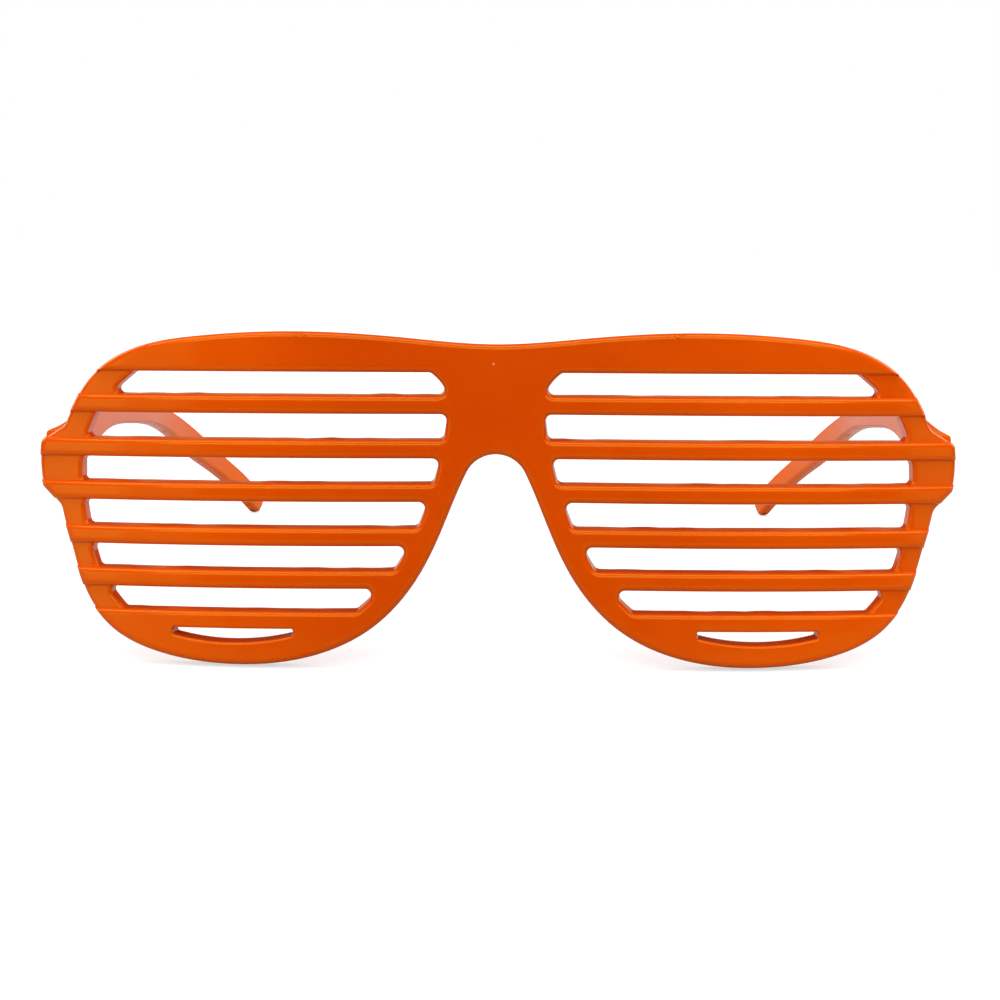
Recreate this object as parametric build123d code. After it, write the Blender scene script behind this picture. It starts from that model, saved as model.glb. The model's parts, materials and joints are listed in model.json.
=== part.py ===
from build123d import *
import math
import os

# Slatted novelty glasses: a moulded front whose two panels are open slats,
# two moulded temples that fold inwards, and a three barrel metal hinge on each side.
# The glasses are drawn level, with X to the wearer's left, Y from the front
# to the ears and Z up, and are then leaned back until they stand by themselves.

# Front, seen from ahead
front_half_width = 76.0
front_height = 54.6
brow_height = 6.6
slat_height = 3.28
slot_height = 3.9
slot_height_shares = (0.91, 1.02, 0.99, 1.02, 0.95, 0.89)
slot_corner_radius = 0.6

# Half of the outline, as shares of the half width and of the height
brow_shares = (
    (0.0, 0.9643),
    (0.215, 0.9852),
    (0.437, 1.0),
    (0.6445, 0.9852),
    (0.8212, 0.9253),
    (0.8934, 0.8436),
    (0.944, 0.735),
)
end_piece_shares = ((0.9985, 0.689), (1.0, 0.63), (0.9935, 0.527))
cheek_shares = (
    (0.9513, 0.469),
    (0.9289, 0.3535),
    (0.8946, 0.2097),
    (0.8359, 0.1035),
    (0.7355, 0.0348),
    (0.5469, 0.0),
)
nose_side_shares = (
    (0.4050, 0.0226),
    (0.2662, 0.1097),
    (0.1613, 0.2756),
)
nose_arch_radius = 5.35
nose_arch_top = 34.65
nose_side_angle = 64.0
brow_end_angle = 66.0
cheek_start_angle = 80.0
end_piece_corner_radius = 1.1
end_piece_root_radius = 2.4

# Sides of the two open panels, as shares of the half width and of the height
panel_inner_shares = (
    (0.20, 0.925),
    (0.1442, 0.8804),
    (0.1120, 0.8295),
    (0.1075, 0.7485),
    (0.1237, 0.6137),
    (0.1678, 0.4223),
    (0.2170, 0.2943),
    (0.2939, 0.1729),
    (0.36, 0.105),
)
panel_outer_shares = (
    (0.76, 0.105),
    (0.8128, 0.1780),
    (0.8399, 0.2256),
    (0.8878, 0.4222),
    (0.8993, 0.5900),
    (0.8790, 0.7500),
    (0.8330, 0.8278),
    (0.7901, 0.8804),
    (0.74, 0.93),
)

# The narrow curved slot under the slats of each panel
smile_centre_share = 0.5645
smile_width = 19.4
smile_top_height = 5.95
smile_end_height = 0.8
smile_drop = 1.2
smile_corner_radius = 0.35
smile_clearance = 2.0

# Front, seen from above
panel_peak_x = 33.0
panel_radius = 129.5
bridge_radius = 142.7
front_thickness = 4.0
end_piece_thickness = 5.0
rim_step = 0.9

# Broken edges of the moulded front
rim_edge_bevel = 0.6
slot_edge_bevel = 0.4

# Block behind each end piece, which carries the hinge
hinge_height = 33.0
hinge_block_height = 10.4
hinge_block_width = 7.1
hinge_block_radius = 0.8

# Hinge
barrel_radius = 1.4
barrel_height = 1.7
barrel_gap = 0.06
hinge_inset = 5.4
hinge_clearance = 0.3
leaf_thickness = 0.9
front_anchor_depth = 2.6
front_anchor_height = 5.6
temple_anchor_length = 8.0
temple_anchor_height = 4.2
temple_neck_length = 1.3
anchor_taper = 0.5
anchor_fit = 0.02
screw_radius = 0.6
screw_fit = 0.05
screw_head_radius = 1.1
screw_head_height = 0.55
screw_slot_width = 0.3
screw_slot_depth = 0.25
screw_tip_length = 0.3

# Temple, seen from above
temple_gap = 0.1
temple_root_thickness = 3.6
temple_bend_thickness = 2.9
temple_tip_thickness = 2.3
temple_splay_angle = 3.2
temple_straight_length = 72.6
temple_bend_radius = 118.0
temple_bend_angle = 28.0

# Temple, seen from the side: shares of its length, and of its rise over the hinge
temple_length = 124.8
temple_rise = 8.8
temple_top_shares = (
    (0.0, 0.568),
    (0.064, 0.648),
    (0.20, 0.92),
    (0.385, 1.0),
    (0.545, 0.909),
    (0.689, 0.636),
    (0.8117, 0.0455),
    (0.894, -0.534),
    (0.966, -1.136),
    (1.009, -1.715),
)
temple_low_shares = (
    (0.981, -1.965),
    (0.89, -1.057),
    (0.79, -0.466),
    (0.678, 0.136),
    (0.4295, 0.511),
    (0.237, 0.42),
    (0.117, -0.057),
    (0.0, -0.591),
)
temple_edge_bevel = 0.6
temple_middle_shares = (0.0, 0.15, 0.3, 0.45, 0.6, 0.75, 0.9, 1.0)
temple_section_shares = (0.0, 0.07, 0.14, 0.22, 0.32, 0.44, 0.56, 0.66, 0.76, 0.86, 0.93, 0.98)
temple_tip_angles = (25.0, 50.0, 70.0, 82.0)

overrun = 20.0
touch = 0.001

sheet_reach = front_half_width + overrun
groove_reach = sheet_reach + overrun
turn_x = panel_peak_x * bridge_radius / (panel_radius + bridge_radius)
turn_angle = math.asin((panel_peak_x - turn_x) / panel_radius)
end_depth = panel_radius - math.sqrt(panel_radius**2 - (front_half_width - panel_peak_x) ** 2)
seat_y = end_depth + end_piece_thickness
hinge_x = front_half_width - hinge_inset
hinge_reach = barrel_radius + hinge_clearance
hinge_y = seat_y + hinge_reach
hinge_axis = Pos(hinge_x, hinge_y, hinge_height)


def place(shares):
    """Points of an outline, from shares of the front's half width and height."""
    return [(x * front_half_width, z * front_height) for x, z in shares]


def turned(angle):
    """The direction that lies an angle in degrees above the first axis."""
    return (math.cos(math.radians(angle)), math.sin(math.radians(angle)))


def surface_depth(x):
    """How far back the front surface lies at a distance x from the middle."""
    if x > turn_x:
        return panel_radius - math.sqrt(panel_radius**2 - (x - panel_peak_x) ** 2)
    hollow = bridge_radius * math.cos(turn_angle) - math.sqrt(bridge_radius**2 - x**2)
    return panel_radius * (1 - math.cos(turn_angle)) - hollow


def surface_curve(depth):
    """Half of the front's curve seen from above, moved back by depth: a hollow, then a bulge."""
    outer = panel_radius - depth
    inner = bridge_radius + depth
    joint = (panel_peak_x - outer * math.sin(turn_angle), panel_radius - outer * math.cos(turn_angle))
    end = (sheet_reach, panel_radius - math.sqrt(outer**2 - (sheet_reach - panel_peak_x) ** 2))
    centre_y = joint[1] - inner * math.cos(turn_angle)
    across, back = turned(90 - math.degrees(turn_angle) / 2)
    bridge = ThreePointArc((0, centre_y + inner), (inner * across, centre_y + inner * back), joint)
    return [bridge, ThreePointArc(joint, (panel_peak_x, depth), end)]


def curved_sheet(near, far):
    """Half a sheet that follows the front's curve between two depths, taller than the front."""
    near_curve = surface_curve(near)
    far_curve = surface_curve(far)
    middle = Line(near_curve[0] @ 0, far_curve[0] @ 0)
    end = Line(near_curve[-1] @ 1, far_curve[-1] @ 1)
    face = make_face([*near_curve, *far_curve, middle, end])
    return Pos(0, 0, -overrun) * extrude(face, amount=front_height + 2 * overrun)


def pushed(face, near, far):
    """A face drawn in X and height, pushed along Y from near to far."""
    return Pos(0, near, 0) * extrude(Plane.XZ * face, amount=near - far)


def through(face):
    """A face drawn in X and height, pushed past both surfaces of the front."""
    return pushed(face, -overrun, seat_y + overrun)


def corners(face, points):
    """The corners of a face that lie at the given points."""
    return [min(face.vertices(), key=lambda v: (v.center() - Vector(*point)).length) for point in points]


def outline_face():
    """Half of the front's outline: brow, end piece, cheek and nose arch."""
    brow = place(brow_shares)
    end_piece = place(end_piece_shares)
    cheek = place(cheek_shares)
    nose = place(nose_side_shares)
    arch_centre = nose_arch_top - nose_arch_radius
    arch = []
    for share in (1, 0.5):
        across, up = turned(90 - share * nose_side_angle)
        arch.append((nose_arch_radius * across, arch_centre + nose_arch_radius * up))
    edges = [
        Spline(*brow, tangents=[(1, 0), turned(-brow_end_angle)]),
        Line(brow[-1], end_piece[0]),
        ThreePointArc(*end_piece),
        Line(end_piece[-1], cheek[0]),
        Spline(*cheek, tangents=[turned(180 + cheek_start_angle), (-1, 0)]),
        Spline(cheek[-1], *nose, arch[0], tangents=[(-1, 0), turned(180 - nose_side_angle)]),
        ThreePointArc(*arch, (0, nose_arch_top)),
        Line((0, nose_arch_top), brow[0]),
    ]
    face = make_face(edges)
    face = fillet(corners(face, [brow[-1], cheek[0]]), end_piece_root_radius)
    return fillet(corners(face, [end_piece[0], end_piece[-1]]), end_piece_corner_radius)


def slot_rows():
    """The lowest and highest line of each row of slots that fits, from the brow down."""
    rows = []
    top = front_height - brow_height
    for share in slot_height_shares:
        low = top - share * slot_height
        if low > smile_top_height + smile_clearance:
            rows.append((low, top))
        top = low - slat_height
    return rows


def row_face(low, high):
    """A band between two heights, from the middle of the front to beyond its end."""
    return Pos(groove_reach / 2, (low + high) / 2) * Rectangle(groove_reach, high - low)


def panel_face(is_closed):
    """The space that the slots of one panel fill, which ends at its outer side or runs on."""
    inner = place(panel_inner_shares)
    outer = place(panel_outer_shares)
    if not is_closed:
        outer = [(groove_reach, inner[-1][1]), (groove_reach, inner[0][1])]
    far_side = Spline(*outer) if is_closed else Line(*outer)
    return make_face([Spline(*inner), Line(inner[-1], outer[0]), far_side, Line(outer[-1], inner[0])])


def slot_face(low, high):
    """One slot, with rounded corners."""
    slot = panel_face(True) & row_face(low, high)
    return fillet(slot.vertices(), slot_corner_radius)


def groove_face(low, high):
    """One slot run on over the rim, where the rim lies lower than the slats."""
    groove = panel_face(False) & row_face(low, high)
    inner_corners = groove.vertices().sort_by(Axis.X)[:2]
    return fillet(inner_corners, slot_corner_radius)


def smile_face():
    """The narrow slot under the slats: straight above, bowed below."""
    middle = smile_centre_share * front_half_width
    near = middle - smile_width / 2
    far = middle + smile_width / 2
    low = smile_top_height - smile_end_height
    edges = [
        Polyline((near, low), (near, smile_top_height), (far, smile_top_height), (far, low)),
        ThreePointArc((near, low), (middle, low - smile_drop), (far, low)),
    ]
    face = make_face(edges)
    return fillet(face.vertices(), smile_corner_radius)


def front_edges(solid, low, high):
    """The edges on the foremost surface of a half front, between two heights."""
    found = []
    for edge in solid.edges():
        spots = [edge @ share for share in (0, 0.5, 1)]
        is_ahead = all(abs(spot.Y - surface_depth(spot.X)) < touch for spot in spots)
        is_between = all(low - touch < spot.Z < high + touch for spot in spots)
        if is_ahead and is_between and spots[1].X > touch:
            found.append(edge)
    return found


def hinge_block(outline):
    """The block behind the end piece that the temple shuts against."""
    middle = front_half_width - hinge_block_width + overrun / 2
    region = RectangleRounded(overrun, hinge_block_height, hinge_block_radius)
    start = end_depth + 1.5 * rim_step
    return pushed(outline & Pos(middle, hinge_height) * region, start, seat_y)


def half_front():
    """The wearer's left half of the moulded front."""
    outline = outline_face()
    plate = through(outline) & curved_sheet(0, front_thickness)
    plate = chamfer(front_edges(plate, 0, front_height), rim_edge_bevel)
    skin = curved_sheet(-rim_step, rim_step)
    sheet = curved_sheet(0, front_thickness + rim_step)
    for low, high in slot_rows():
        sheet -= through(groove_face(low, high)) & skin
        sheet = chamfer(front_edges(sheet, low, high), slot_edge_bevel)
    sheet -= through(smile_face())
    smile_low = smile_top_height - smile_end_height - smile_drop
    sheet = chamfer(front_edges(sheet, smile_low, smile_top_height), slot_edge_bevel)
    half = sheet & plate
    for low, high in slot_rows():
        half -= through(slot_face(low, high))
    return half + hinge_block(outline)


def screw_way():
    """The hole that runs down through all three barrels of a hinge."""
    return Cylinder(screw_radius + screw_fit, 3 * barrel_height + 2 * overrun)


def anchor_plate(height, length, fit):
    """A flat plate along X that grows higher towards its end, or its seat, larger all round by a fit."""
    near = height / 2 - anchor_taper + fit
    far = height / 2 + fit
    side = Polyline((-fit, -near), (length + fit, -far), (length + fit, far), (-fit, near), close=True)
    return extrude(Plane.XZ * make_face(side), amount=leaf_thickness / 2 + fit, both=True)


def front_anchor(fit):
    """The plate of the front leaf, which is sunk into the hinge block, or its seat."""
    return Pos(0, -hinge_reach, 0) * Rot(0, 0, -90) * anchor_plate(front_anchor_height, front_anchor_depth, fit)


def temple_anchor(fit):
    """The plate of the temple leaf, flush in the temple's inner face, and its neck, or their seats."""
    along_face = Pos(hinge_reach, temple_gap - hinge_reach, 0) * Rot(0, 0, 90 + temple_splay_angle)
    plate = anchor_plate(temple_anchor_height, temple_anchor_length, fit)
    neck = Box(hinge_reach + 2 * fit, temple_neck_length + 2 * fit, barrel_height + 2 * fit)
    return [
        along_face * Pos(hinge_reach, -leaf_thickness / 2, 0) * plate,
        Pos(hinge_reach / 2, temple_neck_length / 2, 0) * neck,
    ]


def hinge_front_leaf():
    """The leaf in the end piece: an upper and a lower barrel on a sunk plate."""
    leaf = front_anchor(0)
    for side in (1, -1):
        height = Pos(0, 0, side * (barrel_height + barrel_gap))
        leaf += height * Cylinder(barrel_radius, barrel_height)
        leaf += height * Pos(0, -hinge_reach / 2, 0) * Box(leaf_thickness, hinge_reach, barrel_height)
    return leaf - screw_way()


def hinge_temple_leaf():
    """The leaf in the temple: the middle barrel on a sunk plate."""
    return Cylinder(barrel_radius, barrel_height) + temple_anchor(0) - screw_way()


def hinge_screw():
    """The screw: a slotted head on the upper barrel and a shank through all three."""
    below = (Align.CENTER, Align.CENTER, Align.MAX)
    seat = 1.5 * barrel_height + barrel_gap
    crown = seat + screw_head_height
    shank = Pos(0, 0, seat) * Cylinder(screw_radius, 2 * seat + screw_tip_length, align=below)
    head = Pos(0, 0, crown) * Cylinder(screw_head_radius, screw_head_height, align=below)
    slot = Pos(0, 0, crown) * Box(2 * screw_head_radius, screw_slot_width, screw_slot_depth, align=below)
    return shank + head - slot


def inward(point, heading, distance):
    """A point moved square to a heading in degrees, to its right, seen from above."""
    across, back = turned(heading - 90)
    return (point[0] + distance * across, point[1] + distance * back)


def temple_inner_line():
    """The temple's inner face seen from above: a straight run, then an arc behind the ear."""
    straight = 90 + temple_splay_angle
    root = (hinge_x + hinge_reach, seat_y + temple_gap)
    run = PolarLine(root, temple_straight_length, straight)
    bend = run @ 1
    centre = inward((bend.X, bend.Y), straight, -temple_bend_radius)
    return run, CenterArc(centre, temple_bend_radius, straight - 90, temple_bend_angle)


def temple_plan():
    """The temple seen from above, thinner towards the tip."""
    straight = 90 + temple_splay_angle
    last = straight + temple_bend_angle
    run, arc = temple_inner_line()
    root = run @ 0
    bend = run @ 1
    middle = arc @ 0.5
    tip = arc @ 1
    outer = [
        inward((root.X, root.Y), 90, temple_root_thickness),
        inward((bend.X, bend.Y), straight, temple_bend_thickness),
        inward((middle.X, middle.Y), (straight + last) / 2, (temple_bend_thickness + temple_tip_thickness) / 2),
        inward((tip.X, tip.Y), last, temple_tip_thickness),
    ]
    edges = [
        run,
        arc,
        Line(tip, outer[-1]),
        Spline(*outer, tangents=[turned(straight), turned(last)]),
        Line(outer[0], root),
    ]
    return make_face(edges)


def temple_side_curves():
    """The top and the underside of the temple, seen from the side."""
    top = [(y * temple_length, z * temple_rise) for y, z in temple_top_shares]
    low = [(y * temple_length, z * temple_rise) for y, z in temple_low_shares]
    return Spline(*top), Spline(*low)


def temple_tip_radius():
    """Half the height of the temple at its tip, which is round."""
    top, low = temple_side_curves()
    return (low @ 0 - top @ 1).length / 2


def temple_blank():
    """The temple with sharp edges: the plan and the side view pushed through each other."""
    plan = Pos(0, 0, -overrun) * extrude(temple_plan(), amount=front_height + 2 * overrun)
    top, low = temple_side_curves()
    ends = [Line(top @ 1, low @ 0), Line(low @ 1, top @ 0)]
    side = extrude(Plane.YZ * make_face([top, low, *ends]), amount=front_half_width + overrun)
    return plan & Pos(0, seat_y + temple_gap, hinge_height) * side


def temple_middle_line():
    """The line halfway between the temple's top and its underside, seen from the side."""
    top, low = temple_side_curves()
    return Spline(*[(top @ share + low @ (1 - share)) / 2 for share in temple_middle_shares])


def temple_place(share):
    """The place and the direction of the temple's inner face at a share of its middle line."""
    line = temple_middle_line()
    spot = line @ share
    along = line % share
    run, arc = temple_inner_line()
    straight_reach = (run @ 1 - run @ 0).Y
    bent = max(0, spot.X - straight_reach) / temple_bend_radius
    heading = math.degrees(math.asin(math.sin(math.radians(temple_splay_angle)) + bent))
    inner = run @ (spot.X / straight_reach)
    if bent:
        inner = arc @ ((heading - temple_splay_angle) / temple_bend_angle)
    slope = math.degrees(math.atan2(along.Y, along.X))
    return Pos(inner.X, inner.Y, hinge_height + spot.Y) * Rot(0, 0, heading) * Rot(slope, 0, 0)


def temple_section(blank, place):
    """A slice of the sharp-edged temple at a place, with its four corners broken."""
    side = 2 * overrun
    slice_face = (place * Rot(90, 0, 0) * Rectangle(side, side) & blank).face()
    points = [(place.inverse() * Pos(*vertex)).position for vertex in slice_face.vertices()]
    middle = sum(points, Vector()) / len(points)
    points.sort(key=lambda point: math.atan2(point.Z - middle.Z, point.X - middle.X))
    outline = Polyline(*[(point.X - middle.X, point.Z - middle.Z) for point in points], close=True)
    face = make_face(outline)
    return place * Pos(middle) * Plane.XZ.location * chamfer(face.vertices(), temple_edge_bevel)


def temple():
    """The wearer's left temple, open, with a seat for its hinge leaf in its inner face."""
    blank = temple_blank()
    root = Pos(hinge_x, seat_y + temple_gap + touch, hinge_height)
    places = [root] + [temple_place(share) for share in temple_section_shares[1:]]
    sections = [temple_section(blank, place) for place in places]
    arm = loft(sections)
    tip = [sections[-1]]
    back = (places[-1] * Pos(0, 1, 0)).position - places[-1].position
    for angle in temple_tip_angles:
        narrowing, onward = turned(angle)
        face = sections[-1].face()
        smaller = scale(Pos(-face.center()) * face, narrowing)
        tip.append(Pos(face.center() + back * onward * temple_tip_radius()) * smaller)
    arm += loft(tip, ruled=True)
    for solid in temple_anchor(anchor_fit):
        arm -= hinge_axis * solid
    return arm


def front_frame():
    """The whole moulded front, with a seat for a hinge leaf behind each end piece."""
    half = half_front() - hinge_axis * front_anchor(anchor_fit)
    return half + mirror(half, Plane.YZ)


def lean_angle(arm):
    """How far the glasses lean back when they stand on their cheeks and the round tips of their temples."""
    cheek_x = cheek_shares[-1][0] * front_half_width
    back_radius = panel_radius - front_thickness
    cheek_y = panel_radius - math.sqrt(back_radius**2 - (cheek_x - panel_peak_x) ** 2)
    tip_y = seat_y + temple_gap + (temple_middle_line() @ temple_section_shares[-1]).X - cheek_y
    tip_z = arm.bounding_box().min.Z + temple_tip_radius()
    return math.degrees(math.atan2(tip_z, tip_y) - math.asin(temple_tip_radius() / math.hypot(tip_y, tip_z)))


def level_pieces():
    """Every piece of the glasses by name, as they are held level in front of the eyes."""
    left = {
        "temple": temple(),
        "hinge_front_leaf": hinge_axis * hinge_front_leaf(),
        "hinge_temple_leaf": hinge_axis * hinge_temple_leaf(),
        "hinge_screw": hinge_axis * hinge_screw(),
    }
    pieces = {"front_frame": front_frame()}
    for name, solid in left.items():
        pieces["left_" + name] = solid
        pieces["right_" + name] = mirror(solid, Plane.YZ)
    return pieces


def standing(pieces):
    """The place that stands the level pieces on the ground, with their middle over the origin."""
    lean = Rot(-lean_angle(pieces["left_temple"]), 0, 0)
    box = Compound([(lean * solid).solid() for solid in pieces.values()]).bounding_box()
    return Pos(0, -box.center().Y, -box.min.Z) * lean


def main():
    """Build every piece, stand it up and write it to its own file."""
    os.makedirs("parts", exist_ok=True)
    pieces = level_pieces()
    stance = standing(pieces)
    for name, solid in pieces.items():
        export_step(stance * solid, f"parts/{name}.step")
    axis = stance * hinge_axis
    up = (stance * Pos(0, 0, 1)).position - stance.position
    print("lean back, degrees", round(lean_angle(pieces["left_temple"]), 3))
    print("left hinge, mm", [round(value, 4) for value in axis.position])
    print("hinge axis", [round(value, 6) for value in up])


main()
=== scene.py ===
# %% [markdown]
# # Slatted novelty glasses
#
# These party glasses have no lenses. Their front is one glossy orange moulding: each panel is a
# ladder of slats, and the slats run on over a rim that lies a little lower. Two slim temples fold
# in behind the front on small metal hinges. This notebook dresses the measured solids: it remakes
# the plastic pieces with the soft edges of a real moulding, gives every piece its finish, and
# sets up the light and the camera.

# %% Load the measured frame
import json
import math

import bpy
import numpy as np
from mathutils import Matrix, Vector


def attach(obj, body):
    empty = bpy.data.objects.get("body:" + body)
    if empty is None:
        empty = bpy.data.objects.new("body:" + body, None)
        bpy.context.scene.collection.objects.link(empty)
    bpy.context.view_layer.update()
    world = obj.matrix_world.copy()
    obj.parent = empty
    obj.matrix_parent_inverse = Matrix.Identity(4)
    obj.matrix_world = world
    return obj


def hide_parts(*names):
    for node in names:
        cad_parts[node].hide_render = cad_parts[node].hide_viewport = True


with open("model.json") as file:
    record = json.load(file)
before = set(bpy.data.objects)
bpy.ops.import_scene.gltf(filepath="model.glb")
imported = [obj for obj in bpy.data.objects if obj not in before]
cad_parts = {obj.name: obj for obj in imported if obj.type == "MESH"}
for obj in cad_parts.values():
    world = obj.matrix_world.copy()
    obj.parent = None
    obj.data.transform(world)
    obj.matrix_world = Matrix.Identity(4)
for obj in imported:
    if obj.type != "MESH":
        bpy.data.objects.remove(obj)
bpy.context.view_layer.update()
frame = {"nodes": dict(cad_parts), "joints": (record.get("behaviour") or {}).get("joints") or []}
print("nodes:", sorted(frame["nodes"]))

# %% [markdown]
# ## One unit and one stance
#
# Glasses are drawn level and in millimetres, as they sit in front of the eyes, but they stand
# leaning back on their cheeks and temple tips, and Blender counts in metres. So each shape is made
# level, one unit to the millimetre, and a single matrix shrinks it and leans it back. The hinge pin
# gives that matrix, because the frame says where the pin is and how it leans: nothing has to be
# fitted by eye. The large units also help the booleans, which are less exact on tiny numbers.

# %% The main sizes, and the matrix that stands the glasses up
front_half_width = 76.0
front_height = 54.6
panel_peak_x = 33.0
panel_radius = 129.5
bridge_radius = 142.7
front_thickness = 4.0
end_piece_thickness = 5.0
rim_step = 0.9
hinge_height = 33.0
hinge_inset = 5.4
hinge_reach = 1.7

end_depth = panel_radius - math.sqrt(panel_radius**2 - (front_half_width - panel_peak_x) ** 2)
seat_y = end_depth + end_piece_thickness
hinge_x = front_half_width - hinge_inset

left_fold = next(joint for joint in frame["joints"] if joint["name"] == "left_temple_fold")
lean = math.asin(left_fold["axis"][1])
pin = Vector((hinge_x, seat_y + hinge_reach, hinge_height))
metres_per_mm = 0.001
stand = Matrix.Translation(left_fold["pos_m"]) @ Matrix.Rotation(-lean, 4, "X")
stand = stand @ Matrix.Scale(metres_per_mm, 4) @ Matrix.Translation(-pin)
print("the glasses lean back", round(math.degrees(lean), 2), "degrees")

# %% [markdown]
# ## Lines through a few points
#
# A designer draws the outline of a pair of glasses with a bent spline through a few points. The
# same can be done with a little algebra: a cubic curve between each two points, joined so that
# slope and bend run on without a break. It is used for the outline, for the sides of the panels
# and for the temples, so that a handful of shares of the whole size describes every curve.

# %% Curves, arcs and rounded corners in the plane
def smooth_line(points, start=None, end=None, steps=12):
    """Points of a smooth line through a few given ones. Its end directions may be given too."""
    spots = np.array(points, float)
    gaps = np.linalg.norm(np.diff(spots, axis=0), axis=1)
    last = len(spots) - 1
    table = np.zeros((last + 1, last + 1))
    right = np.zeros((last + 1, 2))
    for i in range(1, last):
        table[i, i - 1 : i + 2] = gaps[i], 2 * (gaps[i - 1] + gaps[i]), gaps[i - 1]
        before = (spots[i] - spots[i - 1]) / gaps[i - 1]
        after = (spots[i + 1] - spots[i]) / gaps[i]
        right[i] = 3 * (gaps[i] * before + gaps[i - 1] * after)
    for row, beside, gap, direction in ((0, 1, 0, start), (last, last - 1, last - 1, end)):
        is_free = direction is None
        table[row, row] = 2 if is_free else 1
        table[row, beside] = 1 if is_free else 0
        low, high = min(row, beside), max(row, beside)
        right[row] = 3 * (spots[high] - spots[low]) / gaps[gap] if is_free else direction
    slopes = np.linalg.solve(table, right)
    t = np.linspace(0, 1, steps, endpoint=False)[:, None]
    pieces = []
    for i in range(last):
        ends = (1 + 2 * t) * (1 - t) ** 2 * spots[i] + t**2 * (3 - 2 * t) * spots[i + 1]
        bends = t * (1 - t) ** 2 * slopes[i] - t**2 * (1 - t) * slopes[i + 1]
        pieces.append(ends + gaps[i] * bends)
    return np.vstack([*pieces, spots[-1:]])


def heading(angle):
    """The direction that lies an angle in degrees above the first axis."""
    return np.array([math.cos(math.radians(angle)), math.sin(math.radians(angle))])


def arc_through(first, middle, last, steps=12):
    """Points of the arc through three points."""
    a, b, c = (complex(*point) for point in (first, middle, last))
    w = (c - a) / (b - a)
    centre = (b - a) * (w - abs(w) ** 2) / (2j * w.imag) + a
    turn = np.angle((c - centre) / (a - centre))
    spots = centre + (a - centre) * np.exp(1j * np.linspace(0, turn, steps + 1))
    return np.column_stack([spots.real, spots.imag])


def walk(line, distance):
    """The part of a line that is left after a distance from its start, with its new start."""
    run = np.concatenate([[0], np.cumsum(np.linalg.norm(np.diff(line, axis=0), axis=1))])
    start = [np.interp(distance, run, line[:, axis]) for axis in (0, 1)]
    return np.vstack([start, line[run > distance + 0.0001]])


def join_rounded(first, second, radius, steps=6):
    """Two lines that meet in a corner, as one line with that corner rounded."""
    into = first[-1] - first[-2]
    out = second[1] - second[0]
    turn = math.acos(np.clip(np.dot(into, out) / np.linalg.norm(into) / np.linalg.norm(out), -1, 1))
    setback = radius * math.tan(turn / 2)
    before = walk(first[::-1], setback)[::-1]
    after = walk(second, setback)
    grip = 4 / 3 * math.tan(turn / 4) * radius
    near = before[-1] + grip * (before[-1] - before[-2]) / np.linalg.norm(before[-1] - before[-2])
    far = after[0] - grip * (after[1] - after[0]) / np.linalg.norm(after[1] - after[0])
    t = np.linspace(0, 1, steps, endpoint=False)[1:, None]
    bow = (1 - t) ** 3 * before[-1] + 3 * t * (1 - t) ** 2 * near
    bow = bow + 3 * t**2 * (1 - t) * far + t**3 * after[0]
    return np.vstack([before, bow, after])


def at_height(line, height):
    """How far from the middle a line lies at a height."""
    order = np.argsort(line[:, 1])
    return np.interp(height, line[order, 1], line[order, 0])


# %% [markdown]
# ## The outline of the front
#
# Seen from ahead the front is a broad brow, a short end piece at each side, a full cheek and a
# high nose arch. The left half is written as shares of the half width and of the height, and the
# right half is its mirror image. The corners of the end piece are rounded as on the moulding.

# %% Draw the outline
brow_shares = (
    (0.0, 0.9643),
    (0.215, 0.9852),
    (0.437, 1.0),
    (0.6445, 0.9852),
    (0.8212, 0.9253),
    (0.8934, 0.8436),
    (0.9435, 0.712),
)
end_piece_shares = ((0.9965, 0.669), (1.0, 0.615), (0.9935, 0.527))
cheek_shares = (
    (0.9513, 0.469),
    (0.9289, 0.3535),
    (0.8946, 0.2097),
    (0.8359, 0.1035),
    (0.7355, 0.0348),
    (0.5469, 0.0),
)
nose_side_shares = ((0.4050, 0.0226), (0.2662, 0.1097), (0.1613, 0.2756))
nose_arch_radius = 5.35
nose_arch_top = 34.65
nose_side_angle = 64.0
brow_end_angle = -66.0
cheek_start_angle = 260.0
end_corner_radius = 1.1
end_root_radius = 2.4


def placed(shares):
    """Points of the front, from shares of its half width and height."""
    return np.array(shares) * (front_half_width, front_height)


def outline_points():
    """The whole outline of the front, once round."""
    brow = smooth_line(placed(brow_shares), heading(0), heading(brow_end_angle))
    end_piece = arc_through(*placed(end_piece_shares))
    cheek = smooth_line(placed(cheek_shares), heading(cheek_start_angle), heading(180))
    arch_centre = np.array([0, nose_arch_top - nose_arch_radius])
    arch_angles = np.linspace(90 - nose_side_angle, 90, 10)
    arch = np.array([arch_centre + nose_arch_radius * heading(angle) for angle in arch_angles])
    nose = [cheek[-1], *placed(nose_side_shares), arch[0]]
    nose = smooth_line(nose, heading(180), heading(180 - nose_side_angle))
    over = np.vstack([brow[-1], end_piece[0]])
    under = np.vstack([end_piece[-1], cheek[0]])
    half = join_rounded(brow, over, end_root_radius)
    half = join_rounded(half, end_piece, end_corner_radius)
    half = join_rounded(half, under, end_corner_radius)
    half = join_rounded(half, cheek, end_root_radius)
    half = np.vstack([half[1:], nose[1:], arch[1:-1]])
    middle_top = brow[:1]
    middle_arch = np.array([[0, nose_arch_top]])
    return np.vstack([middle_top, half, middle_arch, half[::-1] * (-1, 1)])


outline = outline_points()
print("outline:", len(outline), "corners,", np.round(np.ptp(outline, axis=0), 2), "mm")

# %% [markdown]
# ## Prisms with soft edges
#
# Every part of the front is a flat drawing with thickness. A drawing starts as a filled circle
# with one corner for each point of the line, its corners are moved onto the line, and the face is
# extruded ring by ring. Each ring is grown or shrunk a little, so the same way makes a slab with a
# rounded rim and a cutter whose mouth flares out, which leaves a rounded edge where it cuts.

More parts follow.
